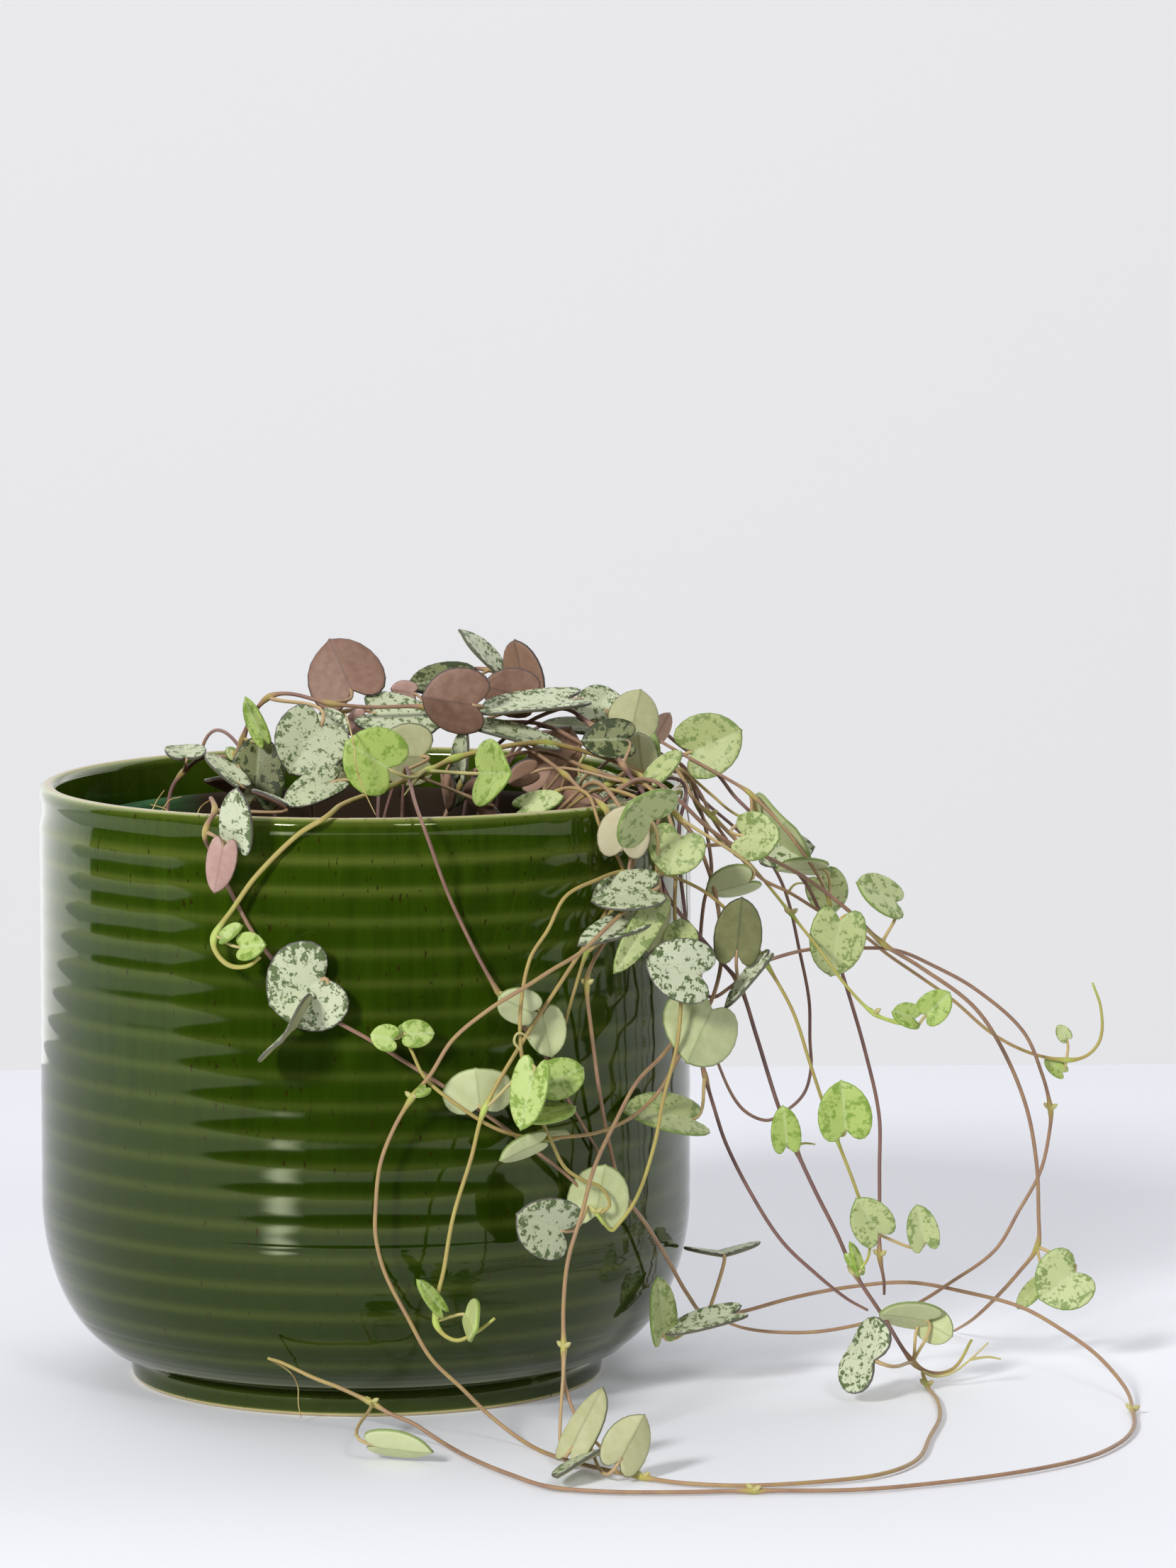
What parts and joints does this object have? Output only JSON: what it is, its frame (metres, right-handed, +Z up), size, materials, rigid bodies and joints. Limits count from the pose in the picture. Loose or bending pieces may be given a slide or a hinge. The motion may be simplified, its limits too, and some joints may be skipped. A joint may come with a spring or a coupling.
{
  "type": "potted string of hearts plant",
  "caption": "String of hearts: a trailing succulent vine with heart-shaped leaves on thin stems, growing out of a nursery pot in a round, ribbed, glazed plant pot.",
  "frame": {"origin": "centre of the pot's flat underside, on the surface that it stands on", "axes": "+Z up; -Y towards the side where most stems hang down the pot's wall; +X towards the side where they arch clear of it"},
  "size_m": [0.2471, 0.2252, 0.1723],
  "materials": {
    "green_glaze": "deep glossy moss-green glaze over a ribbed wall, pale where it breaks on the ribs and the lip, with fine brown specks and an unglazed buff foot line",
    "nursery_plastic": "blue-green moulded plastic, satin",
    "potting_soil": "dark crumbly potting mix, matt",
    "leaf_and_stem": "fleshy leaves, silver-green with dark blotches above and purple-brown to pale olive beneath, on tan to pinkish-brown stems"
  },
  "bodies": {
    "root": {"nursery_pot": "nursery_plastic", "pot": "green_glaze", "soil": "potting_soil", "vine_01": "leaf_and_stem", "vine_02": "leaf_and_stem", "vine_03": "leaf_and_stem", "vine_04": "leaf_and_stem", "vine_05": "leaf_and_stem", "vine_06": "leaf_and_stem", "vine_07": "leaf_and_stem", "vine_08": "leaf_and_stem", "vine_09": "leaf_and_stem", "vine_10": "leaf_and_stem", "vine_11": "leaf_and_stem", "vine_12": "leaf_and_stem", "vine_13": "leaf_and_stem", "vine_14": "leaf_and_stem", "vine_15": "leaf_and_stem", "vine_16": "leaf_and_stem", "vine_17": "leaf_and_stem", "vine_18": "leaf_and_stem", "vine_19": "leaf_and_stem", "vine_20": "leaf_and_stem", "vine_21": "leaf_and_stem", "vine_22": "leaf_and_stem", "vine_23": "leaf_and_stem", "vine_24": "leaf_and_stem"}
  },
  "joints": []
}
